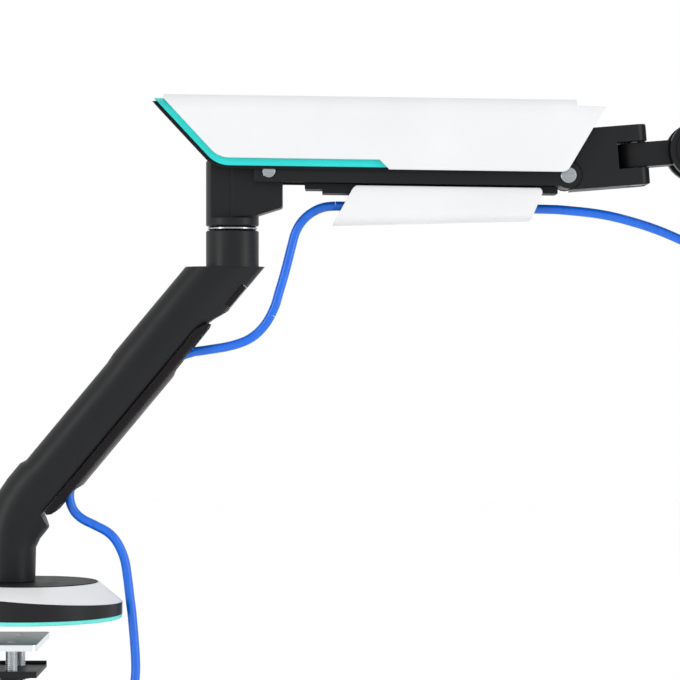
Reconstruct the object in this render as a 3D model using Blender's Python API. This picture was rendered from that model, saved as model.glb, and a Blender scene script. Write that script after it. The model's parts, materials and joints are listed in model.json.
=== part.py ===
"""Desk-clamp monitor arm with a spring-balanced upper arm and a clipped-in screen cable.

The frame is +Z up, with the lower arm leaning towards +X. The origin is on the column's axis, at
the underside of the desk pad. Sizes below are in millimetres, and meshes are made in metres.
"""
import math

import bmesh
import bpy
from mathutils import Matrix, Vector

MM = 0.001
GAP = 0.3                    # clearance between pieces that touch

# Driving dimensions
COLUMN_R = 19.3              # column, lower arm and elbow are all turned to about this radius
DISC_X = 15.0                # the base disc sits forward of the column
DISC_R = 69.5
PAD_TOP = 3.0
BASE_TOP = 27.4
SKIRT_SLOPE = -0.075         # the skirt's lower edge falls towards +X
SKIRT_EDGE_Z = 17.3          # height of that edge over the disc's centre
CAP_R = 51.0
CLAMP_SCREW_X = 4.5
CLAMP_SCREW_Y = 27.5
PLATE_TOP = -15.4            # the desk gap is the height from here to the pad
ARM_SLOPE = math.radians(50.2)
ARM_AXIS_T = -47.8           # distance of the lower arm's centre line from the origin, across it
ARM_TOP = 263.0
ELBOW_X = 167.0
ELBOW_R = 19.8               # elbow socket and block
LIFT_PIVOT = Vector((194.9, 0.0, 333.7))
ARM_LENGTH = 222.5           # lift pivot to head pivot
ARM_DROOP = math.radians(0.8)
HEAD_RISE = math.radians(4.5)
LINK_RISE = 13.5             # parallel link's pivots above the arm's own pivots
SPRING_RISE = 30.0           # spring rod's pivot above the lift pivot
PAN_X = 51.8                 # pan axis, from the head pivot
TILT_X = 99.0                # tilt axis, from the head pivot
LINK_Z = 11.5                # middle of the pan link, from the head pivot
CABLE_R = 3.5
COIL = Vector((120.5, 0.0, -130.0))    # middle of the cable's hanging coil
COIL_R = 38.5
COIL_TURNS = 4
COIL_PITCH = 7.4             # the turns lie side by side along Y
COIL_HALF = COIL_TURNS * COIL_PITCH / 2
COIL_JOIN = 25.0             # the cable leaves the coil's side this far above and below its middle

HEAD_PIVOT = LIFT_PIVOT + Vector((ARM_LENGTH * math.cos(ARM_DROOP), 0.0,
                                  -ARM_LENGTH * math.sin(ARM_DROOP)))


# ---------------------------------------------------------------- materials

def material(name, color, roughness, metallic=0.0, alpha=1.0):
    mat = bpy.data.materials.new(name)
    mat.use_nodes = True
    shader = mat.node_tree.nodes["Principled BSDF"]
    shader.inputs["Base Color"].default_value = (*color, 1.0)
    shader.inputs["Roughness"].default_value = roughness
    shader.inputs["Metallic"].default_value = metallic
    shader.inputs["Alpha"].default_value = alpha
    return mat


# ---------------------------------------------------------------- outlines

def arc(x, z, radius, start, end, steps=8):
    """Points of an arc about (x, z), from start to end degrees."""
    turn = [math.radians(start + (end - start) * i / steps) for i in range(steps + 1)]
    return [(x + radius * math.cos(a), z + radius * math.sin(a)) for a in turn]


def rounded(corners, steps=5):
    """Outline through corners (x, z, radius), each rounded to its own radius."""
    outline = []
    for i, (x, z, radius) in enumerate(corners):
        here = Vector((x, z))
        if radius == 0:
            outline.append((x, z))
            continue
        before = (Vector(corners[i - 1][:2]) - here).normalized()
        after = (Vector(corners[(i + 1) % len(corners)][:2]) - here).normalized()
        half = before.angle(after) / 2
        centre = here + (before + after).normalized() * radius / math.sin(half)
        first = here + before * radius / math.tan(half) - centre
        last = here + after * radius / math.tan(half) - centre
        sweep = first.angle_signed(last)
        for k in range(steps + 1):
            turn = -sweep * k / steps
            spoke = Matrix.Rotation(turn, 2) @ first
            outline.append(tuple(centre + spoke))
    return outline


def box_outline(x0, z0, x1, z1, radius=0.0):
    return rounded([(x0, z0, radius), (x1, z0, radius), (x1, z1, radius), (x0, z1, radius)], 4)


def tangent_hull(circles, steps=24):
    """Convex outline round circles (x, z, radius)."""
    points = []
    for x, z, radius in circles:
        points += arc(x, z, radius, 0, 360, steps)[:-1]
    points.sort()

    def side(ordered):
        chain = []
        for p in ordered:
            while len(chain) > 1 and cross(chain[-2], chain[-1], p) <= 1e-6:
                chain.pop()
            chain.append(p)
        return chain[:-1]

    return side(points) + side(points[::-1])


def cross(a, b, c):
    return (b[0] - a[0]) * (c[1] - a[1]) - (b[1] - a[1]) * (c[0] - a[0])


# ---------------------------------------------------------------- solids

def make_object(name, bm, mat=None, parent=None):
    """Turn a bmesh in millimetres into an object in metres."""
    bmesh.ops.scale(bm, vec=(MM, MM, MM), verts=bm.verts)
    bmesh.ops.remove_doubles(bm, verts=bm.verts, dist=1e-7)
    bmesh.ops.recalc_face_normals(bm, faces=bm.faces)
    mesh = bpy.data.meshes.new(name)
    bm.to_mesh(mesh)
    bm.free()
    obj = bpy.data.objects.new(name, mesh)
    if mat is not None:
        mesh.materials.append(mat)
        mesh.shade_smooth()
        mesh.set_sharp_from_angle(angle=math.radians(35))
    bpy.context.collection.objects.link(obj)
    obj.parent = parent
    return obj


def loft(name, rings, mat=None, parent=None, closed=False):
    """Skin rings of points. A closed loft joins the last ring to the first, as a tube does."""
    bm = bmesh.new()
    loops = [[bm.verts.new(p) for p in ring] for ring in rings]
    pairs = list(zip(loops, loops[1:]))
    if closed:
        pairs.append((loops[-1], loops[0]))
    for low, high in pairs:
        for i in range(len(low)):
            j = (i + 1) % len(low)
            bm.faces.new((low[i], low[j], high[j], high[i]))
    if not closed:
        bm.faces.new(loops[0][::-1])
        bm.faces.new(loops[-1])
    return make_object(name, bm, mat, parent)


def prism(name, outline, y0, y1, mat=None, parent=None):
    """A side-view outline (x, z) given thickness along Y."""
    rings = [[(x, y, z) for x, z in outline] for y in (y0, y1)]
    return loft(name, rings, mat, parent)


def circle(x, y, z, radius, steps, axis="Z"):
    ring = []
    for i in range(steps):
        turn = 2 * math.pi * i / steps
        a = radius * math.cos(turn)
        b = radius * math.sin(turn)
        ring.append({"X": (x, y + a, z + b), "Y": (x + a, y, z + b), "Z": (x + a, y + b, z)}[axis])
    return ring


def turned(name, profile, at=(0, 0, 0), axis="Z", steps=24, mat=None, parent=None, ring=False):
    """Turn a profile of (distance along the axis, radius). A ring profile encloses a bore."""
    rings = []
    for along, radius in profile:
        x, y, z = at
        offset = {"X": (x + along, y, z), "Y": (x, y + along, z), "Z": (x, y, z + along)}[axis]
        rings.append(circle(*offset, radius, steps, axis))
    return loft(name, rings, mat, parent, closed=ring)


def box(name, low, high, mat=None, parent=None, radius=0.0):
    outline = box_outline(low[0], low[2], high[0], high[2], radius)
    return prism(name, outline, low[1], high[1], mat, parent)


def combine(target, tool, operation):
    """Apply a boolean with a tool object, which is then removed."""
    modifier = target.modifiers.new(operation.lower(), "BOOLEAN")
    modifier.operation = operation
    modifier.solver = "EXACT"
    modifier.object = tool
    bpy.context.view_layer.update()
    graph = bpy.context.evaluated_depsgraph_get()
    mesh = bpy.data.meshes.new_from_object(target.evaluated_get(graph))
    target.modifiers.clear()
    target.data = mesh
    mesh.shade_smooth()
    mesh.set_sharp_from_angle(angle=math.radians(35))
    bpy.data.objects.remove(tool)
    return target


def cut(target, tool):
    return combine(target, tool, "DIFFERENCE")


def add(target, tool):
    return combine(target, tool, "UNION")


def empty(name, at, turn_y=0.0):
    obj = bpy.data.objects.new(name, None)
    obj.location = at * MM
    obj.rotation_euler = (0.0, turn_y, 0.0)
    bpy.context.collection.objects.link(obj)
    return obj


def slope_point(s, t, y=0.0):
    """A point given along (s) and across (t) the lower arm; t grows towards its underside."""
    cos = math.cos(ARM_SLOPE)
    sin = math.sin(ARM_SLOPE)
    return (s * cos + t * sin, y, s * sin - t * cos)


def slope_outline(points):
    world = [slope_point(s, t) for s, t in points]
    return [(x, z) for x, _, z in world]


# ---------------------------------------------------------------- base and desk clamp

def skirt_edge(x):
    return SKIRT_EDGE_Z + SKIRT_SLOPE * (x - DISC_X)


def sloped_ring(radius, lift, steps):
    """A ring on the sloping plane of the skirt's lower edge."""
    flat = circle(DISC_X, 0, 0, radius, steps)
    return [(x, y, skirt_edge(x) + lift) for x, y, _ in flat]


def make_base(m):
    steps = 48
    turned("desk_pad", [(0, DISC_R - 1.2), (0.8, DISC_R - 0.2), (PAD_TOP, DISC_R - 0.2)],
           (DISC_X, 0, 0), steps=steps, mat=m["teal_rubber"])

    low = PAD_TOP + GAP
    boss_top = BASE_TOP - 3.8
    body = loft("base_body", [
        circle(DISC_X, 0, low, DISC_R, steps),
        sloped_ring(DISC_R, -GAP, steps),
        sloped_ring(CAP_R - 0.1, -GAP, steps),
        circle(DISC_X, 0, boss_top, CAP_R - 0.1, steps),
        circle(0, 0, boss_top, 8.4, steps),
        circle(0, 0, 10.6, 8.4, steps),
        circle(0, 0, 10.6, 14.4, steps),
        circle(0, 0, low, 14.4, steps),
    ], m["black_casting"], closed=True)
    cut(body, box("flange_pocket", (-70, -30.3, 0), (22.3, 30.3, 6.6)))

    loft("base_skirt", [
        sloped_ring(DISC_R, 0, steps),
        circle(DISC_X, 0, BASE_TOP - 0.6, CAP_R + 1.2, steps),
        circle(DISC_X, 0, BASE_TOP - 0.6, CAP_R + 0.3, steps),
        sloped_ring(CAP_R + 0.3, 0, steps),
    ], m["white_plastic"], closed=True)

    loft("base_cap", [
        circle(DISC_X, 0, boss_top + GAP, CAP_R, steps),
        circle(DISC_X, 0, BASE_TOP - 0.5, CAP_R, steps),
        circle(DISC_X, 0, BASE_TOP, CAP_R - 0.5, steps),
        circle(0, 0, BASE_TOP, 8.4, steps),
        circle(0, 0, boss_top + GAP, 8.4, steps),
    ], m["black_plastic"], closed=True)

    turned("base_spindle", [(6.9, 14), (10.3, 14), (10.3, 8), (59, 8), (60, 7)], mat=m["steel"])

    bracket_outline = [(-59, 6.3), (-59, -62), (-56, -62), (-56, 3.3), (22, 3.3), (22, 6.3)]
    bracket = prism("clamp_bracket", bracket_outline, -30, 30, m["black_steel"])
    for y in (-18.0, 18.0):
        cut(bracket, turned("hole", [(-70, 2.8), (-50, 2.8)], (0, y, -50), "X", steps=12))

    jaw = box("clamp_jaw", (-55.7, -37.5, -41), (24, 37.5, -36.2), m["black_steel"])
    cut(jaw, box("recess", (-52.7, -34.5, -38.6), (30, 34.5, -30)))
    add(jaw, box("tab", (-55.7, -29, -62), (-52.7, 29, -37)))
    for y in (-18.0, 18.0):
        cut(jaw, turned("hole", [(-70, 2.8), (-50, 2.8)], (0, y, -50), "X", steps=12))
    for y in (-CLAMP_SCREW_Y, CLAMP_SCREW_Y):
        add(jaw, turned("nut", [(-48.5, 8.5), (-40, 8.5)], (CLAMP_SCREW_X, y, 0), steps=6))
        cut(jaw, turned("hole", [(-60, 4.9), (-30, 4.9)], (CLAMP_SCREW_X, y, 0), steps=20))
    for side, y in (("front", -18.0), ("rear", 18.0)):
        turned("jaw_screw_" + side, [(-63.5, 3.0), (-62.5, 4.5), (-59.3, 4.5), (-59.3, 2.5),
                                     (-49, 2.5)], (0, y, -50), "X", 12, m["steel"])


def make_clamp_screws(m):
    plate_outline = rounded([(-40, -50, 4), (25.2, -50, 4), (25.2, 50, 4), (-40, 50, 4)], 3)
    rings = [[(x, y, z) for x, y in plate_outline] for z in (PLATE_TOP - 4.6, PLATE_TOP)]
    plate = loft("press_plate", rings, m["nickel"])
    low = PLATE_TOP - 4.6
    for side, y in (("front", -CLAMP_SCREW_Y), ("rear", CLAMP_SCREW_Y)):
        at = (CLAMP_SCREW_X, y, 0)
        cut(plate, turned("hole", [(-25, 3.3), (-10, 3.3)], at, steps=16))
        turned("clamp_screw_" + side, [(-88, 4.6), (low - GAP, 4.6), (low - GAP, 3.0),
                                       (PLATE_TOP - 0.2, 3.0)], at, steps=20, mat=m["steel"])
        turned("clamp_knob_" + side, [(-91, 12.5), (-89, 14.5), (-76, 14.5), (-74, 11), (-74, 4.9),
                                      (-91, 4.9)], at, steps=24, mat=m["black_plastic"], ring=True)


# ---------------------------------------------------------------- lower arm

def arm_section(x, z, lean, front, back, steps=28):
    """A section of the casting across its centre line: round behind, deeper in front."""
    ring = []
    for i in range(steps):
        turn = 2 * math.pi * i / steps
        depth = math.cos(turn)
        across = depth * (front if depth > 0 else back)
        side = COLUMN_R * math.sin(turn)
        ring.append((x + across * math.cos(lean), side, z - across * math.sin(lean)))
    return ring


def make_lower_arm(m):
    bend_r = 60.0
    bend_z = 53.0
    lean = math.pi / 2 - ARM_SLOPE
    deep = COLUMN_R + 7.2        # the casting's front stands out above and below the cable channel
    rings = [arm_section(0, BASE_TOP + GAP, 0, COLUMN_R, COLUMN_R)]
    for part, front in ((0.0, COLUMN_R + 0.6), (0.25, COLUMN_R + 3.2), (0.5, COLUMN_R + 6.0),
                        (0.75, deep)):
        turn = lean * part
        x = bend_r - bend_r * math.cos(turn)
        z = bend_z + bend_r * math.sin(turn)
        rings.append(arm_section(x, z, turn, front, COLUMN_R + part))
    for s, back in ((79.1, 20.3), (94, 20.3), (99, 18.3), (193.5, 18.3), (202, 19.3), (336, 19.3)):
        x, _, z = slope_point(s, ARM_AXIS_T)
        rings.append(arm_section(x, z, lean, deep, back))
    casting = loft("lower_arm_casting", rings, m["black_casting"])
    cut(casting, box("top_plane", (60, -60, ARM_TOP), (330, 60, 400)))
    add(casting, turned("elbow_socket", [(ARM_TOP - 0.5, ELBOW_R), (289.1, ELBOW_R), (289.9, 19)],
                        (ELBOW_X, 0, 0), steps=36))
    channel = slope_outline([(71.6, -21.6), (75.5, -30.7), (254.5, -30.7), (264, -27.2),
                             (270, -25.6), (281.4, -21.2), (288, -5), (60, -5)])
    cut(casting, prism("channel_cut", channel, -40, 40))
    groove = slope_outline([(77, -25), (262, -25), (252, -41), (80, -41)])
    cut(casting, prism("cable_groove", groove, -9, 9))
    pocket = slope_outline([(284, -10), (284, -26.0), (304, -26.0), (304, -10)])
    cut(casting, prism("cap_pocket", pocket, -10.3, 10.3))
    cut(casting, turned("column_bore", [(20, 12.3), (62, 12.3)], steps=24))
    cut(casting, turned("elbow_bore", [(255, 8.3), (300, 8.3)], (ELBOW_X, 0, 0), steps=24))

    turned("column_bush", [(29.8, 8.4), (29.8, 12), (61, 12), (61, 8.4)], steps=24,
           mat=m["bush_plastic"], ring=True)

    end_cap = slope_outline([(284.3, -25.7), (303.7, -25.7), (303.7, -21.7), (284.3, -21.7)])
    prism("channel_end_cap", end_cap, -10, 10, m["smoke_plastic"])

    make_lower_cover(m)

    turned("elbow_spindle", [(256, 8), (326.4, 8), (326.4, 10.2), (331, 10.2), (332, 9.4)],
           (ELBOW_X, 0, 0), steps=24, mat=m["steel"])
    turned("elbow_ring", [(290.2, 8.4), (290.2, 17.2), (291.1, 18.6), (292.1, 18.6), (293, 17.2),
                          (293, 8.4)], (ELBOW_X, 0, 0), steps=36, mat=m["nickel"], ring=True)


def make_lower_cover(m):
    """A thin curved cover, clipped over the cable channel, open in the middle at both ends."""
    seat = -30.4
    half = 16.5
    wall = 1.5
    crown = 9.2
    steps = 12
    section = []
    for i in range(steps + 1):
        turn = math.pi * (i / steps - 0.5)
        section.append((half * math.sin(turn), seat + crown * math.cos(turn)))
    for i in range(steps + 1):
        turn = math.pi * (0.5 - i / steps)
        section.append(((half - wall) * math.sin(turn), seat + (crown - wall) * math.cos(turn)))
    rings = [[slope_point(s, t, y) for y, t in section] for s in (70, 270)]
    cover = loft("lower_cable_cover", rings, m["smoke_plastic"])
    side = [(79.5, -31), (78.5, -27.5), (81, -25), (86, -23.8), (105, -23.8), (114.6, -20.5),
            (215.3, -20.5), (222.3, -23.2), (262, -24), (265.3, -25), (264.8, -27), (255, -31)]
    combine(cover, prism("cover_side", slope_outline(side), -20, 20), "INTERSECT")


# ---------------------------------------------------------------- elbow block

def make_elbow(m):
    collar_low = 293.3
    block = turned("elbow_block", [(collar_low, 19), (294.1, ELBOW_R), (341.5, ELBOW_R),
                                   (343, 18)],
                   (ELBOW_X, 0, 0), steps=36, mat=m["black_casting"])
    for y0, y1 in ((-40, -12), (12, 40)):
        cut(block, box("flat", (100, y0, 299.2), (260, y1, 400)))
    pivot_x = LIFT_PIVOT.x
    pivot_z = LIFT_PIVOT.z
    lug = rounded([(ELBOW_X, 299.6, 0), (186, 301.2, 4), (204.6, 307, 2), (204.6, 330, 3),
                   (pivot_x + 4, 345, 3), (ELBOW_X, 343, 0)], 3)
    add(block, prism("lug", lug, -13, 13))
    tower = tangent_hull([(pivot_x, pivot_z, 10.5), (pivot_x, pivot_z + SPRING_RISE, 6)])
    add(block, prism("tower", tower, -9, 9))
    cut(block, box("fork", (182, -3.4, pivot_z + 7.2), (212, 3.4, pivot_z + 50)))
    under_link = [(0.5, 12), (0.5, 7.2), (20, -7.4), (20, 12)]
    cut(block, prism("link_relief", [(pivot_x + x, pivot_z + z) for x, z in under_link],
                     -3.4, 3.4))
    cut(block, turned("lift_bore", [(-30, 5.3), (30, 5.3)], LIFT_PIVOT, "Y", 20))
    for rise, radius in ((LINK_RISE, 2.8), (SPRING_RISE, 2.8)):
        at = LIFT_PIVOT + Vector((0, 0, rise))
        cut(block, turned("pin_bore", [(-20, radius), (20, radius)], at, "Y", 14))
    cut(block, turned("elbow_bore", [(280, 10.7), (400, 10.7)], (ELBOW_X, 0, 0), steps=24))

    turned("elbow_bush", [(294.6, 8.4), (294.6, 10.3), (326.1, 10.3), (326.1, 8.4)],
           (ELBOW_X, 0, 0), mat=m["bush_plastic"], ring=True)
    for name, rise in (("link_pin_rear", LINK_RISE), ("spring_pin", SPRING_RISE)):
        at = LIFT_PIVOT + Vector((0, 0, rise))
        turned(name, [(-9.5, 2.5), (9.5, 2.5)], at, "Y", 14, m["steel"])


# ---------------------------------------------------------------- upper arm, in its own frame

def make_channel(m, arm):
    plate = [(-11.1, 20), (-11.1, -8), (ARM_LENGTH - 6, -8)]
    plate += arc(ARM_LENGTH, 0, 10, -126.9, 105, 12)
    plate += [(ARM_LENGTH - 22, 20)]
    channel = prism("arm_channel", plate, -20.7, 20.7, m["black_casting"], arm)
    cut(channel, box("inside", (-40, -18.7, -30), (260, 18.7, 18.2), parent=arm))
    cut(channel, box("rear_opening", (-40, -18.7, 10), (30, 18.7, 40), parent=arm))
    cut(channel, box("front_opening", (ARM_LENGTH - 24, -18.7, 10), (260, 18.7, 40), parent=arm))
    cut(channel, box("nut_slot", (134, -10.4, 15), (180, 10.4, 25), parent=arm))
    for x in (0, ARM_LENGTH):
        cut(channel, turned("bore", [(-30, 5.0 + GAP), (30, 5.0 + GAP)], (x, 0, 0), "Y", 20,
                            parent=arm))


def make_nested_shell(name, half, top, wall, outline, mat, arm, corner=12.0):
    """An upside-down trough whose side view is cut to an outline."""
    low = -20.0
    outer = rounded([(-half, low, 0), (-half, top, corner), (half, top, corner), (half, low, 0)], 5)
    inner = rounded([(-half + wall, low, 0), (-half + wall, top - wall, corner - wall),
                     (half - wall, top - wall, corner - wall), (half - wall, low, 0)], 5)
    section = outer + inner[::-1]
    rings = [[(x, y, z) for y, z in section] for x in (-120, 280)]
    shell = loft(name, rings, mat, arm)
    side = prism("side_view", outline, -60, 60, parent=arm)
    return combine(shell, side, "INTERSECT")


def slant_x(z, inset):
    """Where the shells' slanted rear edge lies at height z, moved in by inset."""
    return -40.0 + inset / 0.722 - (z - 1.4) * 0.958


def make_shells(m, arm):
    lip_top = 51.2
    lip = rounded([(slant_x(lip_top, 0), lip_top, 0), (slant_x(1.4, 0), 1.4, 24), (150, 1.4, 0),
                   (150, lip_top + 5, 0), (slant_x(lip_top, 0), lip_top + 5, 0)], 7)
    make_nested_shell("arm_inner_shell", 24, lip_top, 1.8, lip, m["black_plastic"], arm, 8)

    trim_top = 53.4
    trim = rounded([(slant_x(trim_top, 2.4), trim_top, 0), (slant_x(3.5, 2.4), 3.5, 22),
                    (106, 3.5, 0), (106, trim_top + 5, 0),
                    (slant_x(trim_top, 2.4), trim_top + 5, 0)], 7)
    make_nested_shell("arm_trim_shell", 26.1, trim_top, 1.8, trim, m["teal_plastic"], arm, 10)

    top = 56.3
    rear_x = -79.0
    step_x = 85.6
    roof_end = 227.5
    white = rounded([(rear_x, top + 5, 0), (rear_x, 52.7, 0), (slant_x(9, 7.25), 9, 18),
                     (step_x - 3.6, 9, 0), (step_x + 3.6, 1.9, 0), (220.9, 1.9, 6),
                     (248.8, 50.6, 0), (roof_end, 51, 0), (roof_end, top + 5, 0)], 6)
    make_nested_shell("arm_cover", 29, top, 2.6, white, m["white_plastic"], arm)
    bracket = box("shell_bracket", (181, -21.9, 20.3), (184, 21.9, 49.0), m["black_plastic"], arm)
    cut(bracket, box("rod_notch", (178, -4.5, 15), (187, 4.5, 34.5), parent=arm))


def make_pivot_pins(m, arm):
    for name, x, head in (("lift_pin", 0, 4.85), ("head_pin", ARM_LENGTH, 5.9)):
        turned(name, [(-21.9, head - 0.5), (-21.5, head), (-21, head), (-21, 4.8), (21, 4.8),
                      (21, head), (21.5, head), (21.9, head - 0.5)], (x, 0, 0), "Y", 24,
               m["nickel"], arm)


def make_cover_clips(m, arm):
    rear = [(26.3, -8.3), (26.8, -12.8), (39.7, -12.8), (39.7, -15.6), (65.6, -15.6), (66.2, -8.3)]
    prism("cover_clip_rear", rear, -15, 15, m["black_plastic"], arm)
    front = [(199, -8.3), (205, -13.6), (215, -13.6), (215, -8.3)]
    prism("cover_clip_front", front, -15, 15, m["black_plastic"], arm)


def make_upper_cover(m, arm):
    """A white trough under the arm that the cable lies in."""
    half = 17.3
    wall = 1.8
    steps = 4
    rings = []
    for x, low in ((40, -39.4), (210, -33.0)):
        outer = rounded([(-half, -9.6, 0), (-half, low, 7), (half, low, 7), (half, -9.6, 0)], steps)
        inner = rounded([(-half + wall, -9.6, 0), (-half + wall, low + wall, 5.2),
                         (half - wall, low + wall, 5.2), (half - wall, -9.6, 0)], steps)
        rings.append([(x, y, z) for y, z in outer + inner[::-1]])
    cover = loft("upper_cable_cover", rings, m["white_plastic"], arm)
    side = rounded([(46.2, -42, 0), (192, -42, 0), (205.5, -9, 4), (64, -9, 7)], 5)
    combine(cover, prism("cover_side", side, -30, 30, parent=arm), "INTERSECT")


def make_spring(m, arm):
    """The lifting spring and its seat, along the line of the spring rod."""
    seat_x = 42.0
    nut_x = 155.0
    wire = 1.3
    coil_r = 8.0
    turns = 11
    per_turn = 12
    sides = 6
    seat = box("spring_seat", (seat_x, -17, 20.3), (seat_x + 3, 17, 42), m["steel"], arm)
    cut(seat, box("slot", (seat_x - 5, -3.2, 20.8), (seat_x + 9, 3.2, 33.6), parent=arm))
    start = seat_x + 3 + GAP + wire
    pitch = (nut_x - GAP - wire - start) / turns
    rings = []
    for i in range(turns * per_turn + 1):
        turn = 2 * math.pi * i / per_turn
        x = start + pitch * i / per_turn
        ring = []
        for k in range(sides):
            a = 2 * math.pi * k / sides
            r = coil_r + wire * math.cos(a)
            ring.append((x + wire * math.sin(a), r * math.cos(turn),
                         SPRING_RISE + r * math.sin(turn)))
        rings.append(ring)
    loft("lift_spring", rings, m["spring_steel"], arm)


def make_spring_rod(m, rod):
    """Rod with an eye on the elbow's fork and a nut plate that the spring pushes on."""
    piece = turned("spring_rod", [(4, 2.5), (154.9, 2.5), (154.9, 9.2), (158.9, 9.2),
                                  (158.9, 2.5), (166, 2.5)], (0, 0, 0), "X", 16, m["steel"], rod)
    add(piece, turned("eye", [(-3, 5.5), (3, 5.5)], (0, 0, 0), "Y", 20, parent=rod))
    cut(piece, turned("eye_bore", [(-9, 2.8), (9, 2.8)], (0, 0, 0), "Y", 14, parent=rod))


def make_parallel_link(m, link):
    """The link that keeps the head level."""
    outline = tangent_hull([(0, 0, 4.2), (ARM_LENGTH, 0, 4.2)], 20)
    bar = prism("parallel_link", outline, -3, 3, m["steel"], link)
    for x in (0, ARM_LENGTH):
        cut(bar, turned("bore", [(-9, 2.8), (9, 2.8)], (x, 0, 0), "Y", 14, parent=link))


# ---------------------------------------------------------------- head, in its own frame

def make_yoke(m, head):
    wide = rounded([(2, -11, 0), (60.8, -11, 2), (60.8, 33.7, 2), (14, 33.7, 1), (5.5, 9.3, 0)], 3)
    yoke = prism("yoke", wide, -21, 21, m["black_casting"], head)
    cut(yoke, turned("clearance", [(-40, 10.4), (40, 10.4)], (0, 0, 0), "Y", 32, parent=head))
    ear_x = LINK_RISE * math.sin(HEAD_RISE)
    ear_z = LINK_RISE * math.cos(HEAD_RISE)
    tongue = tangent_hull([(0, 0, 9.5), (ear_x, ear_z, 6), (30, 10, 10)])
    add(yoke, prism("tongue", tongue, -18.2, 18.2, parent=head))
    cut(yoke, box("link_slot", (-20, -3.6, 6.0), (14, 3.6, 40), parent=head))
    under_link = [(-22.5, 12), (-22.5, -5.7), (3.4, 9.6), (3.4, 12)]
    cut(yoke, prism("link_relief", under_link, -3.6, 3.6, parent=head))
    cut(yoke, box("pan_slot", (37.9, -40, 1.5), (90, 40, 21.6), parent=head))
    cut(yoke, turned("head_bore", [(-30, 5.2), (30, 5.2)], (0, 0, 0), "Y", 20, parent=head))
    cut(yoke, turned("ear_bore", [(-30, 2.8), (30, 2.8)], (ear_x, 0, ear_z), "Y", 14, parent=head))
    corner = 9.0
    plan = rounded([(-30, -25, 0), (60.8, -21, corner), (60.8, 21, corner), (-30, 25, 0)], 4)
    rings = [[(x, y, z) for x, y in plan] for z in (-30, 60)]
    combine(yoke, loft("plan_view", rings, parent=head), "INTERSECT")
    cut(yoke, turned("pan_bore", [(-30, 5.3), (60, 5.3)], (PAN_X, 0, 0), steps=20, parent=head))
    for z0, z1 in ((-20, -7.5), (30.5, 50)):
        cut(yoke, turned("sink", [(z0, 8.3), (z1, 8.3)], (PAN_X, 0, 0), steps=24, parent=head))

    turned("link_pin_front", [(-15, 2.5), (15, 2.5)], (ear_x, 0, ear_z), "Y", 14, m["steel"], head)
    turned("pan_pin", [(-10.6, 7.5), (-10, 8), (-7.8, 8), (-7.8, 5), (30.8, 5), (30.8, 8),
                       (33, 8), (33.6, 7.5)], (PAN_X, 0, 0), "Z", 24, m["steel"], head)


def make_pan_link(m, head):
    half = 13.5
    low = LINK_Z - 9.1
    high = LINK_Z + 9.1
    plan = arc(PAN_X, 0, half, 90, 270, 12) + [(TILT_X - 6, -half), (TILT_X - 6, half)]
    rings = [[(x, y, z) for x, y in plan] for z in (low, high)]
    link = loft("pan_link", rings, m["black_casting"], head)
    add(link, turned("barrel", [(-10.8, 14), (10.8, 14)], (TILT_X, 0, LINK_Z), "Y", 28,
                     parent=head))
    clear = turned("cheek_clear_front", [(-30, 23), (-11.1, 23)], (TILT_X, 0, LINK_Z), "Y", 32,
                   parent=head)
    cut(link, clear)
    clear = turned("cheek_clear_rear", [(11.1, 23), (30, 23)], (TILT_X, 0, LINK_Z), "Y", 32,
                   parent=head)
    cut(link, clear)
    cut(link, turned("pan_bore", [(-30, 5.3), (60, 5.3)], (PAN_X, 0, 0), steps=20, parent=head))
    cut(link, turned("tilt_bore", [(-30, 4.3), (30, 4.3)], (TILT_X, 0, LINK_Z), "Y", 20,
                     parent=head))


def make_tilt(m, tilt):
    """The bracket that nods on the tilt shaft, in a frame with its origin on the shaft."""
    reach = 34.0
    cheek = tangent_hull([(0, 0, 22)], 36)
    bracket = prism("tilt_bracket", cheek, -19.5, 19.5, m["black_casting"], tilt)
    add(bracket, box("arm", (0, -19.5, -13), (reach, 19.5, 13), parent=tilt))
    add(bracket, turned("flange", [(reach - 4, 24), (reach, 24)], (0, 0, 0), "X", 32, parent=tilt))
    swing = tangent_hull([(0, 0, 16)], 32)
    cut(bracket, prism("barrel_space", swing, -11.4, 11.4, parent=tilt))
    cut(bracket, box("link_space", (-40, -11.4, -40), (8, 11.4, 40), parent=tilt))
    cut(bracket, turned("shaft_bore", [(-30, 4.3), (30, 4.3)], (0, 0, 0), "Y", 20, parent=tilt))
    cut(bracket, turned("hub_bore", [(14, 6.3), (50, 6.3)], (0, 0, 0), "X", 20, parent=tilt))
    turned("tilt_shaft", [(-19.2, 4), (19.2, 4)], (0, 0, 0), "Y", 20, m["steel"], tilt)
    for side, y0, y1 in (("front", -22.5, -19.8), ("rear", 22.5, 19.8)):
        turned("tilt_cap_" + side, [(y1, 17.5), (y0 * 0.96, 17.5), (y0, 16)], (0, 0, 0), "Y", 32,
               m["black_plastic"], tilt)


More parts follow.
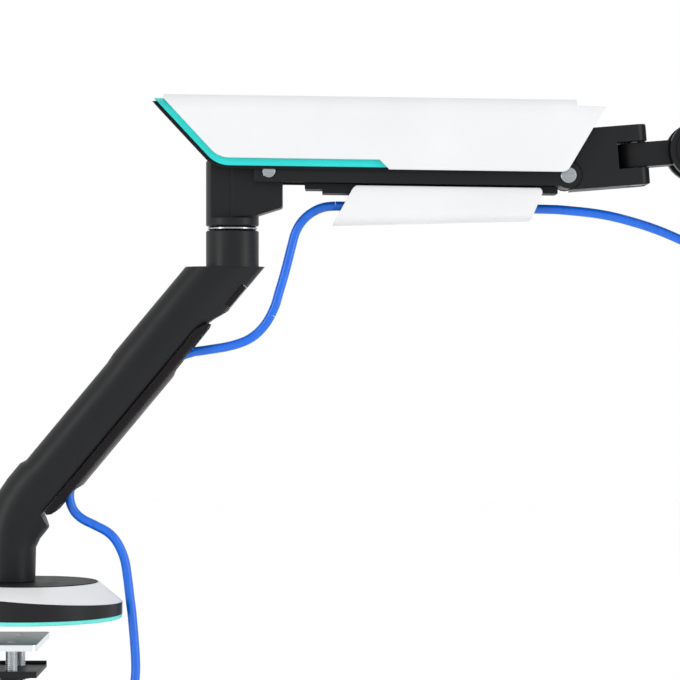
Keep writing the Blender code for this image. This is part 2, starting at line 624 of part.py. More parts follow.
def make_screen_plate(m, tilt):
    """Turning hub and the square plate that the screen is screwed to."""
    reach = 34.0
    plate_x = 43.0
    thick = 2.6
    size = 58.0
    turned("turn_hub", [(18, 6), (reach + GAP, 6), (reach + GAP, 21), (plate_x - GAP, 21)],
           (0, 0, 0), "X", 28, m["black_casting"], tilt)
    outline = rounded([(-size, -size, 9), (size, -size, 9), (size, size, 9), (-size, size, 9)], 4)
    rings = [[(x, y, z) for y, z in outline] for x in (plate_x, plate_x + thick)]
    plate = loft("screen_plate", rings, m["black_steel"], tilt)
    for pattern in (37.5, 50.0):
        for y in (-pattern, pattern):
            for z in (-pattern, pattern):
                cut(plate, turned("hole", [(30, 2.6), (60, 2.6)], (0, y, z), "X", 12, parent=tilt))
    for height, z in (("upper", 50.0), ("lower", -50.0)):
        for side, y in (("front", -50.0), ("rear", 50.0)):
            turned("thumb_screw_" + height + "_" + side,
                   [(plate_x - 10, 5), (plate_x - 9, 6), (plate_x - GAP, 6), (plate_x - GAP, 2.2),
                    (plate_x + thick + 8, 2.2)], (0, y, z), "X", 16, m["steel"], tilt)


# ---------------------------------------------------------------- cable

def smooth_route(route, spacing):
    """Points at an even spacing along a smooth curve through the route's own points."""
    points = [Vector(p) for p in route]
    ends = [points[0] * 2 - points[1]] + points + [points[-1] * 2 - points[-2]]
    fine = []
    per_span = 24
    for i in range(1, len(ends) - 2):
        a, b, c, d = ends[i - 1:i + 3]
        for k in range(per_span):
            u = k / per_span
            fine.append(0.5 * ((2 * b) + (c - a) * u + (2 * a - 5 * b + 4 * c - d) * u ** 2
                               + (3 * b - a - 3 * c + d) * u ** 3))
    fine.append(points[-1])
    total = sum((q - p).length for p, q in zip(fine, fine[1:]))
    count = max(2, round(total / spacing))
    result = [fine[0]]
    travelled = 0.0
    for p, q in zip(fine, fine[1:]):
        travelled += (q - p).length
        if travelled >= total * len(result) / count and len(result) < count:
            result.append(q)
    result.append(fine[-1])
    return result


def cable(name, route, mat):
    """A plain round cable along a route in millimetres."""
    curve = bpy.data.curves.new(name, "CURVE")
    curve.dimensions = "3D"
    curve.bevel_depth = CABLE_R * MM
    curve.bevel_resolution = 2
    curve.render_resolution_u = 0
    curve.use_fill_caps = True
    spline = curve.splines.new("POLY")
    points = smooth_route(route, 2.4 * 2 * CABLE_R)
    spline.points.add(len(points) - 1)
    for knot, p in zip(spline.points, points):
        knot.co = (*(p * MM), 1.0)
    curve.materials.append(mat)
    obj = bpy.data.objects.new(name, curve)
    bpy.context.collection.objects.link(obj)
    return obj


def make_cable(m):
    """The screen cable: coil, lower run, loop past the elbow, upper run and its two plugs."""
    side_x = COIL.x - COIL_R
    cable("cable_lower", [
        (side_x, -COIL_HALF, COIL.z + COIL_JOIN), (side_x + 0.6, -COIL_HALF, COIL.z + 34),
        (84.6, -11.6, -84), (90.0, -5.2, -68), (93.6, -0.8, -50), (94.4, 0, -32),
        (92.0, 0, 0), (90.2, 0, 15), (88.4, 0, 30), (86.0, 0, 44), (80.8, 0, 56), (74.2, 0, 63.6),
        (64.6, 0, 69), (54.5, 0, 74.1), (48.2, 0, 80.2), (45.2, 0, 88.2), (45.5, 0, 96.7),
        (49.0, 0, 104.6), (54.2, 0, 111.4), (61, 0, 119.6), (80, 0, 142.4), (99, 0, 165.2),
        (112, 0, 180.6),
        (120.4, 0, 189.6), (129.2, 0, 196.2), (137.5, 0, 199.2)], m["cable_blue"])
    cable("cable_loop_lower", [
        (138.8, 0, 199.4), (146, 0, 200.4), (153.6, 0, 201.6), (162, 0, 203), (171, 0, 205.3),
        (179, 0, 208.6), (186, 0, 213.6), (192, 0, 220.4), (195.6, 0, 226.2)], m["cable_blue"])
    cable("cable_loop_upper", [
        (196.5, 0, 228.0), (199.4, 0, 235), (201.8, 0, 243.4), (204.4, 0, 252),
        (206.8, 0, 260.6), (209.2, 0, 270), (211.6, 0, 279.4), (214, 0, 288), (217.8, 0, 295.3),
        (223.3, 0, 301.3), (230.2, 0, 305.7), (236.9, 0, 307.9), (243.6, 0, 308.6)], m["cable_blue"])
    cable("cable_upper", [
        (245.0, 0, 308.6), (256, 0, 308.4), (300, 0, 307.8), (345, 0, 307.1), (390, 0, 306.4),
        (404.6, 0, 306.1)], m["cable_blue"])
    cable("cable_end", [
        (406.0, 0, 306.0), (414, 0, 305.6), (436, 0, 303.4), (452, 0, 300.6), (468, 0, 296.4),
        (484, 0, 291.2), (500, 0, 284.6), (508, 0, 280.5), (515, 0, 275), (520.5, 0, 268),
        (524, 0, 260)], m["cable_blue"])

    width = COIL_HALF + CABLE_R + GAP
    inner = COIL_R - CABLE_R - 0.2
    outer = COIL_R + CABLE_R + 0.2
    turned("cable_coil", [(-width, inner), (-width, outer), (width, outer), (width, inner)],
           COIL, "Y", 40, m["cable_blue"], ring=True)

    down = math.radians(68)
    make_plug("screen_plug", m, empty("screen_plug_axis", Vector((524.3, 0, 259)), down))
    tail = Vector((side_x, COIL_HALF, COIL.z - COIL_JOIN - 2))
    make_plug("desk_plug", m, empty("desk_plug_axis", tail, math.radians(90)))


def make_plug(name, m, parent):
    """A generic video plug: strain relief, housing and metal shell along the parent's +X."""
    body = turned(name, [(0, 4.6), (16, 6.0), (16.1, 7.5), (18, 7.5)], (0, 0, 0), "X", 16,
                  m["black_plastic"], parent)
    add(body, box("housing", (17, -10, -5.5), (38, 10, 5.5), parent=parent))
    add(body, box("shell", (37, -7, -2.2), (48, 7, 2.2), parent=parent))
    return body


# ---------------------------------------------------------------- assembly

def make_materials():
    return {
        "black_casting": material("black_casting", (0.024, 0.025, 0.028), 0.42, 0.2),
        "black_steel": material("black_steel", (0.024, 0.025, 0.028), 0.42, 0.2),
        "black_plastic": material("black_plastic", (0.022, 0.023, 0.025), 0.5),
        "white_plastic": material("white_plastic", (0.83, 0.84, 0.85), 0.45),
        "teal_plastic": material("teal_plastic", (0.03, 0.68, 0.62), 0.4),
        "teal_rubber": material("teal_rubber", (0.08, 0.7, 0.62), 0.75),
        "smoke_plastic": material("smoke_plastic", (0.1, 0.095, 0.1), 0.25, 0.0, 0.6),
        "bush_plastic": material("bush_plastic", (0.75, 0.75, 0.72), 0.5),
        "steel": material("steel", (0.55, 0.56, 0.58), 0.3, 1.0),
        "spring_steel": material("spring_steel", (0.3, 0.3, 0.32), 0.35, 1.0),
        "nickel": material("nickel", (0.68, 0.7, 0.71), 0.22, 1.0),
        "cable_blue": material("cable_blue", (0.01, 0.16, 0.85), 0.35),
    }


def main():
    for obj in list(bpy.data.objects):
        bpy.data.objects.remove(obj)
    m = make_materials()
    make_base(m)
    make_clamp_screws(m)
    make_lower_arm(m)
    make_elbow(m)

    arm = empty("arm_axis", LIFT_PIVOT, ARM_DROOP)
    make_channel(m, arm)
    make_shells(m, arm)
    make_pivot_pins(m, arm)
    make_cover_clips(m, arm)
    make_upper_cover(m, arm)
    make_spring(m, arm)
    make_spring_rod(m, empty("spring_axis", LIFT_PIVOT + Vector((0, 0, SPRING_RISE)), ARM_DROOP))
    make_parallel_link(m, empty("link_axis", LIFT_PIVOT + Vector((0, 0, LINK_RISE)), ARM_DROOP))

    head = empty("head_axis", HEAD_PIVOT, -HEAD_RISE)
    make_yoke(m, head)
    make_pan_link(m, head)
    cos = math.cos(HEAD_RISE)
    sin = math.sin(HEAD_RISE)
    tilt_at = HEAD_PIVOT + Vector((TILT_X * cos - LINK_Z * sin, 0, TILT_X * sin + LINK_Z * cos))
    tilt = empty("tilt_axis", tilt_at)
    make_tilt(m, tilt)
    make_screen_plate(m, tilt)
    make_cable(m)


main()
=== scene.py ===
"""Looks for the desk-clamp monitor arm: camera, light, cable, materials and fine detail.

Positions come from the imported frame. Sizes are in millimetres unless a name says otherwise, and
MM turns them into metres.
"""
import json
import math

import bpy
from mathutils import Matrix, Vector


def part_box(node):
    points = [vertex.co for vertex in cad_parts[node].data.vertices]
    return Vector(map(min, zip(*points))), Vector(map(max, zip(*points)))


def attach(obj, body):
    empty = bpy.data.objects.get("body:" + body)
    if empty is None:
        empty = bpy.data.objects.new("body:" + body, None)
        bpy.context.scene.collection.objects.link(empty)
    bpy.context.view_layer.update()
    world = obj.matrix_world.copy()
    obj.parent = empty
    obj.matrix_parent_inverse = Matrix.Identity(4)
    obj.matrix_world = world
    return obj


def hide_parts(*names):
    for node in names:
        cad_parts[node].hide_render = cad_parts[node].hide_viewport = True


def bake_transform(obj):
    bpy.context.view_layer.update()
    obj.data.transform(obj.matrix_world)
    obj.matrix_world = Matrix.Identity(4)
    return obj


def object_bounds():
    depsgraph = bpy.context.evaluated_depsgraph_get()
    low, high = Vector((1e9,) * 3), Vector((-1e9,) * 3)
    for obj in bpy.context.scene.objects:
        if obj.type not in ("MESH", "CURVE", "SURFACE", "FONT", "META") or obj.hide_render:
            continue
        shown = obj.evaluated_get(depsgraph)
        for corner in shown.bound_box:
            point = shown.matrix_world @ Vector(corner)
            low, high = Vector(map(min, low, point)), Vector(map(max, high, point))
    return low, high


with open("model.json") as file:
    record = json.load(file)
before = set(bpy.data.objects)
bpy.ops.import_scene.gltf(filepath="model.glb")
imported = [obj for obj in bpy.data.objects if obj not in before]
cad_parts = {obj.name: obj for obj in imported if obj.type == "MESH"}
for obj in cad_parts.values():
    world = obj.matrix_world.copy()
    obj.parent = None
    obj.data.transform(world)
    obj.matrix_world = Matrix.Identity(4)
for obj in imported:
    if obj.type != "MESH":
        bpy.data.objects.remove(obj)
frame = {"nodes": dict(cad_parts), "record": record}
cad_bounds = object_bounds()

MM = 0.001
CABLE_D = 7.0
CABLE_SIDES = 20
SCREEN_PLUG_AT = (524.3, 0, 259)
SCREEN_PLUG_DOWN = 68            # degrees below level
DESK_PLUG_DOWN = 90

CAMERA_AT = (0.24765, -2.1375, 0.2044)    # metres
CAMERA_VIEW = math.radians(13.6)
CAMERA_SHIFT = 0.0074
SIDE_LIGHT_SIZE = (0.3, 2.2)              # metres
SIDE_LIGHT_POWER = 22.0
FLOOR_HALF = 6.0
FLOOR_DROP = 0.03                         # below the lowest piece, metres

WELD_GAP = 0.002
SMOOTH_BELOW = math.radians(32)


# ---------------------------------------------------------------- camera, floor and light

def make_camera():
    """Level, and seen from the front."""
    data = bpy.data.cameras.new("camera")
    data.sensor_width = 36.0
    data.lens = data.sensor_width / 2 / math.tan(CAMERA_VIEW / 2)
    data.shift_y = CAMERA_SHIFT
    camera = bpy.data.objects.new("camera", data)
    bpy.context.collection.objects.link(camera)
    camera.location = CAMERA_AT
    camera.rotation_euler = (math.pi / 2, 0, 0)
    bpy.context.scene.camera = camera


def area_light(name, at, aim, size, power):
    data = bpy.data.lights.new(name, "AREA")
    data.shape = "RECTANGLE"
    data.size, data.size_y = size
    data.energy = power
    light = bpy.data.objects.new(name, data)
    bpy.context.collection.objects.link(light)
    light.location = at
    direction = Vector(aim) - Vector(at)
    light.rotation_euler = direction.to_track_quat("-Z", "Y").to_euler()


def make_light():
    """A white surround, with two tall soft boxes for the highlights down the black cylinders."""
    bpy.context.scene.view_settings.view_transform = "Standard"
    world = bpy.data.worlds.new("surround")
    world.use_nodes = True
    background = world.node_tree.nodes["Background"]
    background.inputs["Color"].default_value = (1.0, 1.0, 1.0, 1.0)
    background.inputs["Strength"].default_value = 1.0
    bpy.context.scene.world = world
    aim = (0.25, 0.0, 0.25)
    area_light("key", (-1.5, -1.1, 0.5), aim, SIDE_LIGHT_SIZE, SIDE_LIGHT_POWER)
    area_light("fill", (2.0, -0.95, 0.4), aim, SIDE_LIGHT_SIZE, SIDE_LIGHT_POWER)


def make_floor():
    """A pale floor below everything that hangs from the arm."""
    half = FLOOR_HALF
    z = cad_bounds[0][2] - FLOOR_DROP
    mesh = bpy.data.meshes.new("floor")
    mesh.from_pydata([(-half, -half, z), (half, -half, z), (half, half, z), (-half, half, z)], [],
                     [(0, 1, 2, 3)])
    floor = bpy.data.objects.new("floor", mesh)
    bpy.context.collection.objects.link(floor)
    mat = bpy.data.materials.new("floor_white")
    mat.use_nodes = True
    shader = mat.node_tree.nodes["Principled BSDF"]
    shader.inputs["Base Color"].default_value = (0.99, 0.99, 0.99, 1.0)
    shader.inputs["Roughness"].default_value = 0.9
    floor.data.materials.append(mat)


# ---------------------------------------------------------------- materials

class Nodes:
    """Short calls for building one material's node tree."""

    def __init__(self, name, color, roughness, metallic=0.0):
        self.mat = bpy.data.materials.new(name)
        self.mat.use_nodes = True
        self.tree = self.mat.node_tree
        self.shader = self.tree.nodes["Principled BSDF"]
        self.set("Base Color", (*color, 1.0))
        self.set("Roughness", roughness)
        self.set("Metallic", metallic)

    def set(self, socket, value):
        self.shader.inputs[socket].default_value = value

    def new(self, kind, **values):
        node = self.tree.nodes.new(kind)
        for name, value in values.items():
            node.inputs[name.replace("_", " ")].default_value = value
        return node

    def link(self, a, b):
        self.tree.links.new(a, b)

    def place(self, stretch=(1.0, 1.0, 1.0)):
        """Object coordinates in metres, stretched."""
        coordinates = self.new("ShaderNodeTexCoord")
        mapping = self.new("ShaderNodeMapping", Scale=stretch)
        self.link(coordinates.outputs["Object"], mapping.inputs["Vector"])
        return mapping.outputs["Vector"]

    def noise(self, scale, detail=2.0, stretch=(1.0, 1.0, 1.0)):
        noise = self.new("ShaderNodeTexNoise", Scale=scale, Detail=detail)
        self.link(self.place(stretch), noise.inputs["Vector"])
        return noise.outputs["Fac"]

    def remap(self, value, low, high):
        ranged = self.new("ShaderNodeMapRange", From_Min=0.3, From_Max=0.7)
        ranged.inputs["To Min"].default_value = low
        ranged.inputs["To Max"].default_value = high
        self.link(value, ranged.inputs["Value"])
        return ranged.outputs["Result"]

    def vary_roughness(self, value, low, high):
        self.link(self.remap(value, low, high), self.shader.inputs["Roughness"])

    def vary_color(self, value, a, b):
        mix = self.new("ShaderNodeMix")
        mix.data_type = "RGBA"
        mix.inputs["A"].default_value = (*a, 1.0)
        mix.inputs["B"].default_value = (*b, 1.0)
        self.link(self.remap(value, 0.0, 1.0), mix.inputs["Factor"])
        self.link(mix.outputs["Result"], self.shader.inputs["Base Color"])

    def bump(self, height, depth_mm, edge_mm=0.0):
        """Surface grain of that depth over softened edges of that radius."""
        normal = None
        if edge_mm:
            bevel = self.new("ShaderNodeBevel", Radius=edge_mm * MM)
            bevel.samples = 6
            normal = bevel.outputs["Normal"]
        bump = self.new("ShaderNodeBump", Strength=1.0, Distance=depth_mm * MM)
        self.link(height, bump.inputs["Height"])
        if normal:
            self.link(normal, bump.inputs["Normal"])
        self.link(bump.outputs["Normal"], self.shader.inputs["Normal"])


def black_coat(name, color, low, high):
    """Fine powder coat: a tight grain, and roughness that drifts a little."""
    m = Nodes(name, color, (low + high) / 2)
    m.vary_roughness(m.noise(40.0), low, high)
    lighter = tuple(c * 1.18 for c in color)
    m.vary_color(m.noise(900.0, 1.0), color, lighter)
    m.bump(m.noise(2600.0, 1.0), 0.012, 0.7)
    m.set("Specular IOR Level", 0.2)
    return m.mat


def moulding(name, color, shade, low, high, edge=0.8, gloss=0.5):
    """Satin moulding: faint orange-peel and a slight drift of tone."""
    m = Nodes(name, color, (low + high) / 2)
    m.set("Specular IOR Level", gloss)
    m.vary_roughness(m.noise(55.0), low, high)
    m.vary_color(m.noise(18.0), color, shade)
    m.bump(m.noise(1500.0, 1.0), 0.006, edge)
    return m.mat


def brushed(name, color, low, high, stretch, metallic=1.0):
    """Metal with fine lines along one direction."""
    m = Nodes(name, color, (low + high) / 2, metallic)
    lines = m.noise(900.0, 3.0, stretch)
    m.vary_roughness(lines, low, high)
    darker = tuple(c * 0.86 for c in color)
    m.vary_color(lines, darker, color)
    m.bump(lines, 0.008, 0.4)
    return m.mat


def plated_plate():
    """The press plate: bright nickel edges round a top face painted near-black, a painted dark
    reflection.
    """
    color = (0.74, 0.77, 0.785)
    m = Nodes("nickel_plate", color, 0.3, 1.0)
    lines = m.noise(900.0, 3.0, (0.08, 1.0, 1.0))
    m.vary_roughness(lines, 0.26, 0.38)
    # Faces that point up get a near-black base colour: a painted dark reflection on the plate's top
    # face.
    geometry = m.new("ShaderNodeNewGeometry")
    split = m.new("ShaderNodeSeparateXYZ")
    m.link(geometry.outputs["Normal"], split.inputs["Vector"])
    up = m.new("ShaderNodeMath")
    up.operation = "GREATER_THAN"
    up.inputs[1].default_value = 0.9
    m.link(split.outputs["Z"], up.inputs[0])
    mix = m.new("ShaderNodeMix")
    mix.data_type = "RGBA"
    mix.inputs["A"].default_value = (*color, 1.0)
    mix.inputs["B"].default_value = (0.02, 0.02, 0.021, 1.0)
    m.link(up.outputs["Value"], mix.inputs["Factor"])
    m.link(mix.outputs["Result"], m.shader.inputs["Base Color"])
    m.bump(lines, 0.008, 0.4)
    return m.mat


def rubber_pad():
    m = Nodes("teal_rubber", (0.1, 0.56, 0.5), 0.72)
    m.vary_color(m.noise(120.0), (0.1, 0.56, 0.51), (0.12, 0.63, 0.57))
    m.bump(m.noise(1800.0, 2.0), 0.03, 0.6)
    return m.mat


def smoke_cover():
    """Translucent smoke-grey moulding."""
    m = Nodes("smoke_plastic", (0.012, 0.0105, 0.0115), 0.24)
    m.vary_roughness(m.noise(60.0), 0.2, 0.28)
    m.bump(m.noise(1200.0, 1.0), 0.004, 0.6)
    m.set("Alpha", 0.94)
    m.set("Specular IOR Level", 0.05)
    return m.mat


def cable_jacket():
    """Blue jacket with faint drawing marks along its length."""
    m = Nodes("cable_blue", (0.001, 0.11, 0.58), 0.28)
    m.vary_color(m.noise(260.0, 2.0, (1.0, 1.0, 0.15)), (0.001, 0.1, 0.55), (0.002, 0.12, 0.61))
    m.bump(m.noise(1100.0, 1.0, (1.0, 1.0, 0.1)), 0.01)
    m.set("Specular IOR Level", 0.45)
    return m.mat


BLACK = (0.0062, 0.0066, 0.0075)


def make_materials():
    return {
        "black_casting": black_coat("black_casting", BLACK, 0.4, 0.48),
        "black_steel": black_coat("black_steel", BLACK, 0.42, 0.52),
        "black_plastic": moulding("black_plastic", (0.0075, 0.008, 0.009), (0.0105, 0.011, 0.012),
                                  0.48, 0.58, edge=0.5, gloss=0.1),
        "white_plastic": moulding("white_plastic", (0.6, 0.607, 0.618), (0.622, 0.629, 0.64),
                                  0.36, 0.44, edge=1.0, gloss=0.3),
        "teal_plastic": moulding("teal_plastic", (0.013, 0.49, 0.465), (0.017, 0.53, 0.5),
                                 0.32, 0.4, edge=0.5, gloss=0.3),
        "teal_rubber": rubber_pad(),
        "smoke_plastic": smoke_cover(),
        "bush_plastic": moulding("bush_plastic", (0.72, 0.72, 0.69), (0.77, 0.77, 0.73), 0.4, 0.5),
        "steel": brushed("steel", (0.6, 0.61, 0.63), 0.24, 0.38, (1.0, 1.0, 0.05)),
        "spring_steel": brushed("spring_steel", (0.3, 0.3, 0.32), 0.3, 0.42, (0.1, 1.0, 1.0)),
        "nickel": brushed("nickel", (0.37, 0.4, 0.415), 0.22, 0.34, (0.08, 1.0, 1.0)),
        "nickel_plate": plated_plate(),
        "cable_blue": cable_jacket(),
    }


def dress_cad(mats):
    """Every CAD node keeps its shape and gets its slot's finished material."""
    # The press plate takes the material with the painted dark reflection on its top face.
    own = {"press_plate": "nickel_plate"}
    for part in frame["record"]["subparts"]:
        obj = frame["nodes"][part["node"]]
        for slot in obj.material_slots:
            slot.material = mats[own.get(part["node"], part["material_slot"])]
        obj.data.shade_smooth()
        weld = obj.modifiers.new("weld", "WELD")
        weld.merge_threshold = WELD_GAP * MM
        split = obj.modifiers.new("edges", "EDGE_SPLIT")
        split.split_angle = SMOOTH_BELOW


# ---------------------------------------------------------------- cable

def catmull(points, per_span):
    """A smooth curve through the points, with that many steps between neighbours."""
    ends = [points[0] * 2 - points[1]] + points + [points[-1] * 2 - points[-2]]
    out = []
    for i in range(1, len(ends) - 2):
        a, b, c, d = ends[i - 1:i + 3]
        for k in range(per_span):
            u = k / per_span
            out.append(0.5 * ((2 * b) + (c - a) * u + (2 * a - 5 * b + 4 * c - d) * u ** 2
                              + (3 * b - a - 3 * c + d) * u ** 3))
    out.append(points[-1])
    return out


def tube(name, path, radius, sides, mat):
    """A closed mesh tube along a path in metres, its rings turned as little as they can be."""
    verts = []
    faces = []
    side = None
    for i, p in enumerate(path):
        ahead = path[min(i + 1, len(path) - 1)] - path[max(i - 1, 0)]
        ahead.normalize()
        if side is None:
            side = ahead.cross(Vector((0.0, 1.0, 0.0)))
        side = (side - ahead * side.dot(ahead)).normalized()
        up = ahead.cross(side)
        for k in range(sides):
            a = 2 * math.pi * k / sides
            verts.append(p + (side * math.cos(a) + up * math.sin(a)) * radius)
    for i in range(len(path) - 1):
        for k in range(sides):
            a = i * sides + k
            b = i * sides + (k + 1) % sides
            faces.append((a, b, b + sides, a + sides))
    faces.append(tuple(range(sides))[::-1])
    last = (len(path) - 1) * sides
    faces.append(tuple(range(last, last + sides)))
    mesh = bpy.data.meshes.new(name)
    mesh.from_pydata(verts, [], faces)
    mesh.materials.append(mat)
    mesh.shade_smooth()
    mesh.set_sharp_from_angle(angle=math.radians(50))
    obj = bpy.data.objects.new(name, mesh)
    bpy.context.collection.objects.link(obj)
    return obj


COIL_R = 38.5
COIL_TURNS = 4
COIL_PITCH = 7.4
COIL_HALF = COIL_TURNS * COIL_PITCH / 2
COIL_JOIN = 25.0             # where the straight cable takes over from the coil, above its middle

LOWER_RUN = [
    (84.6, -11.6, -84), (90.0, -5.2, -68), (93.6, -0.8, -50), (94.4, 0, -32), (92.0, 0, 0),
    (90.2, 0, 15), (88.4, 0, 30), (86.0, 0, 44), (80.8, 0, 56), (74.2, 0, 63.6), (64.6, 0, 69),
    (54.5, 0, 74.1), (48.2, 0, 80.2), (45.2, 0, 88.2), (45.5, 0, 96.7), (49.0, 0, 104.6),
    (54.2, 0, 111.4), (61, 0, 119.6), (80, 0, 142.4), (99, 0, 165.2), (112, 0, 180.6), (120.4, 0, 189.6),
    (129.2, 0, 196.2), (138.1, 0, 199.3)]
ELBOW_LOOP = [
    (138.1, 0, 199.3), (146, 0, 200.4), (153.6, 0, 201.6), (162, 0, 203), (171, 0, 205.3),
    (179, 0, 208.6), (186, 0, 213.6), (192, 0, 220.4), (196.0, 0, 227.1)]
LIFT_LOOP = [
    (196.0, 0, 227.1), (199.4, 0, 235), (201.8, 0, 243.4), (204.4, 0, 252), (206.8, 0, 260.6),
    (209.2, 0, 270), (211.6, 0, 279.4), (214, 0, 288), (217.8, 0, 295.3), (223.3, 0, 301.3),
    (230.2, 0, 305.7), (236.9, 0, 307.9), (244.3, 0, 308.6)]
UPPER_RUN = [
    (244.3, 0, 308.6), (256, 0, 308.4), (300, 0, 307.8), (345, 0, 307.1), (390, 0, 306.4),
    (405.3, 0, 306.05)]
SCREEN_END = [
    (405.3, 0, 306.05), (414, 0, 305.6), (436, 0, 303.4), (452, 0, 300.6), (468, 0, 296.4),
    (484, 0, 291.2), (500, 0, 284.6), (508, 0, 280.5), (515, 0, 275), (520.5, 0, 268),
    (524, 0, 260)]


def coil_path(centre):
    """Turns side by side along Y, in from the side above the middle and out again below it."""
    per_turn = 48
    side_x = centre.x - COIL_R
    path = [Vector((side_x, -COIL_HALF, centre.z + z)) for z in (COIL_JOIN, COIL_JOIN / 2)]
    for i in range(COIL_TURNS * per_turn + 1):
        turn = 2 * math.pi * i / per_turn
        path.append(Vector((centre.x - COIL_R * math.cos(turn),
                            COIL_HALF * (2 * i / (COIL_TURNS * per_turn) - 1),
                            centre.z - COIL_R * math.sin(turn))))
    path += [Vector((side_x, COIL_HALF, centre.z - z)) for z in (COIL_JOIN / 2, COIL_JOIN + 2)]
    return path


def mesh_piece(name, verts, faces, mat, body, sharp=35):
    """A closed mesh piece in metres, smooth below the sharp angle, riding on a body."""
    mesh = bpy.data.meshes.new(name)
    mesh.from_pydata([tuple(v) for v in verts], [], faces)
    mesh.materials.append(mat)
    mesh.shade_smooth()
    mesh.set_sharp_from_angle(angle=math.radians(sharp))
    obj = bpy.data.objects.new(name, mesh)
    bpy.context.collection.objects.link(obj)
    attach(obj, body)
    return obj


def skin(rings, closed=False):
    """Vertices and faces of rings of equal length joined in order, capped unless closed."""
    count = len(rings[0])
    verts = [v for ring in rings for v in ring]
    faces = []
    spans = len(rings) if closed else len(rings) - 1
    for i in range(spans):
        a = i * count
        b = (i + 1) % len(rings) * count
        for k in range(count):
            n = (k + 1) % count
            faces.append((a + k, a + n, b + n, b + k))
    if not closed:
        faces.append(tuple(range(count))[::-1])
        last = (len(rings) - 1) * count
        faces.append(tuple(range(last, last + count)))
    return verts, faces


def rounded_box(half_a, half_b, corner, steps=5):
    """A rounded rectangle's outline as pairs."""
    out = []
    for ca, cb, start in ((half_a, half_b, 0), (-half_a, half_b, 90), (-half_a, -half_b, 180),
                          (half_a, -half_b, 270)):
        for i in range(steps + 1):
            turn = math.radians(start + 90 * i / steps)
            a = ca - math.copysign(corner, ca) + corner * math.cos(turn)
            b = cb - math.copysign(corner, cb) + corner * math.sin(turn)
            out.append((a, b))
    return out


def make_thread(side, mats):
    """A clamp screw with its real thread, in place of the plain one."""
    node = "clamp_screw_" + side
    low, high = (Vector(c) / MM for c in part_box(node))
    centre = (low + high) / 2
    outer = (high.x - low.x) / 2
    pitch = 1.5
    depth = 0.75
    tip_r = 3.0
    shank_top = high.z - 5.0
    around = 24
    per_pitch = 6
    rings = []
    steps = int((shank_top - low.z) / pitch * per_pitch)
    for i in range(steps + 1):
        z = low.z + (shank_top - low.z) * i / steps
        ring = []
        for k in range(around):
            turn = k / around
            phase = (z / pitch - turn) % 1.0
            r = outer - depth * abs(2 * phase - 1)
            ring.append(Vector((centre.x + r * math.cos(2 * math.pi * turn),
                                centre.y + r * math.sin(2 * math.pi * turn), z)) * MM)
        rings.append(ring)
    for z in (shank_top + 0.1, high.z):
        rings.append([Vector((centre.x + tip_r * math.cos(2 * math.pi * k / around),
                              centre.y + tip_r * math.sin(2 * math.pi * k / around), z)) * MM
                      for k in range(around)])
    verts, faces = skin(rings)
    piece = mesh_piece("thread_" + side, verts, faces, mats["steel"], "screw_" + side, 60)
    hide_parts(node)


def make_coil_tie(mats):
    """A hook-and-loop strap round the coil's turns, at the top of the coil."""
    low, high = (Vector(c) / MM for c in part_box("cable_coil"))
    centre = (low + high) / 2
    wide = 11.0
    thick = 0.9
    half_y = (high.y - low.y) / 2 + 0.3
    half_r = CABLE_D / 2 + 0.5
    outer = rounded_box(half_y + thick, half_r + thick, 3.4)
    inner = rounded_box(half_y, half_r, 2.5)
    stations = []
    across = 6
    for i in range(across + 1):
        x = wide * (i / across - 0.5)
        z = centre.z + math.sqrt(COIL_R ** 2 - x ** 2)
        stations.append((x, z))
    loops = []
    for outline, order in ((outer, stations), (inner, stations[::-1])):
        for x, z in order:
            loops.append([Vector((centre.x + x, centre.y + a, z + b)) * MM for a, b in outline])
    verts, faces = skin(loops, closed=True)
    return mesh_piece("coil_tie", verts, faces, mats["black_plastic"], "lower_arm")


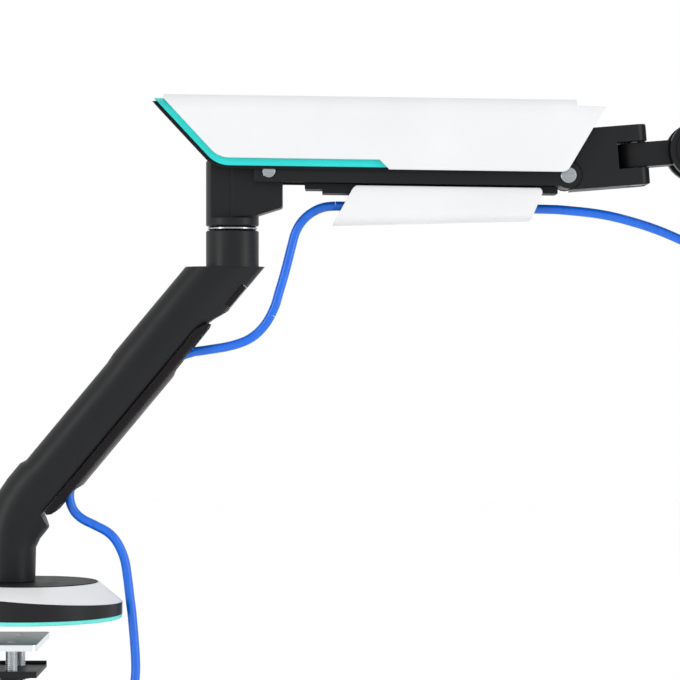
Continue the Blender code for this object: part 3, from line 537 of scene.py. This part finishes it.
def make_plug(name, node, at, down, body, mats):
    """A video plug: ribbed strain relief, rounded housing and its metal shell."""
    turn = Matrix.Rotation(math.radians(down), 4, "Y")
    place = Matrix.Translation(Vector(at)) @ turn

    def ring(x, outline):
        return [(place @ Vector((x, a, b))) * MM for a, b in outline]

    def circle(radius, steps=24):
        return [(radius * math.cos(2 * math.pi * k / steps),
                 radius * math.sin(2 * math.pi * k / steps)) for k in range(steps)]

    rings = [ring(0.2, circle(4.3))]
    ribs = 5
    for i in range(ribs):
        x = 1.0 + 3.0 * i
        r = 4.5 + 0.3 * i
        rings += [ring(x, circle(r)), ring(x + 1.6, circle(r)), ring(x + 1.9, circle(r - 0.7)),
                  ring(x + 2.7, circle(r - 0.7))]
    rings += [ring(16.4, circle(6.2)), ring(17.6, circle(6.2))]
    verts, faces = skin(rings)
    relief = mesh_piece(name + "_relief", verts, faces, mats["black_plastic"], body,
                        40)

    shape = ((17.3, 0.6), (18.1, 0.15), (19.6, 0.0), (34.5, 0.0), (36.8, 0.2), (37.6, 0.8))
    rings = [ring(x, rounded_box(10 - inset, 5.5 - inset, 2.6 - inset)) for x, inset in shape]
    verts, faces = skin(rings)
    housing = mesh_piece(name + "_housing", verts, faces, mats["black_plastic"], body,
                         30)

    rings = [ring(37.0, rounded_box(7, 2.2, 0.8)), ring(47.9, rounded_box(7, 2.2, 0.8)),
             ring(47.9, rounded_box(6.6, 1.8, 0.6)), ring(39.5, rounded_box(6.6, 1.8, 0.6))]
    verts, faces = skin(rings)
    shell = mesh_piece(name + "_shell", verts, faces, mats["nickel"], body, 30)
    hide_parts(node)
    return [relief, housing, shell]


def cord_piece(name, node, path, mat):
    """One stretch of the cable, in place of its CAD tube."""
    piece = tube(name, path, CABLE_D / 2 * MM, CABLE_SIDES, mat)
    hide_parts(node)
    return piece


def stretch(points, per_span=8):
    return [p * MM for p in catmull([Vector(p) for p in points], per_span)]


def make_cable(mats):
    """The screen cable in stretches, one for each body or joint that it follows."""
    blue = mats["cable_blue"]
    low, high = (Vector(c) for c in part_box("cable_coil"))
    centre = (low + high) / 2 / MM
    side_x = centre.x - COIL_R
    top = [(side_x, -COIL_HALF, centre.z + COIL_JOIN), (side_x + 0.6, -COIL_HALF, centre.z + 34)]
    lower = stretch(top + LOWER_RUN)
    coil = [p * MM for p in coil_path(centre)]
    elbow = stretch(ELBOW_LOOP)
    lift = stretch(LIFT_LOOP)
    upper = stretch(UPPER_RUN)
    end = stretch(SCREEN_END)

    piece = cord_piece("screen_cable_lower", "cable_lower", lower[::-1],
                       blue)
    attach(piece, "lower_arm")
    tail = (side_x, COIL_HALF, centre.z - COIL_JOIN - 2)
    desk_pieces = make_plug("desk_end", "desk_plug", tail, DESK_PLUG_DOWN, "lower_arm", mats)
    desk_pieces.append(make_coil_tie(mats))
    piece = cord_piece("screen_cable_coil", "cable_coil", coil, blue)
    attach(piece, "lower_arm")
    piece = cord_piece("screen_cable_elbow", "cable_loop_lower", elbow,
                       blue)
    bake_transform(piece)
    piece = cord_piece("screen_cable_lift", "cable_loop_upper", lift,
                       blue)
    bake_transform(piece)
    piece = cord_piece("screen_cable_upper", "cable_upper", upper,
                       blue)
    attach(piece, "upper_arm")
    screen_pieces = make_plug("screen_end", "screen_plug", SCREEN_PLUG_AT, SCREEN_PLUG_DOWN,
                              "head", mats)
    piece = cord_piece("screen_cable_end", "cable_end", end, blue)
    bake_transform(piece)


# ---------------------------------------------------------------- assembly

make_camera()
materials = make_materials()
make_cable(materials)
make_light()
make_floor()
dress_cad(materials)
for side in ("front", "rear"):
    make_thread(side, materials)
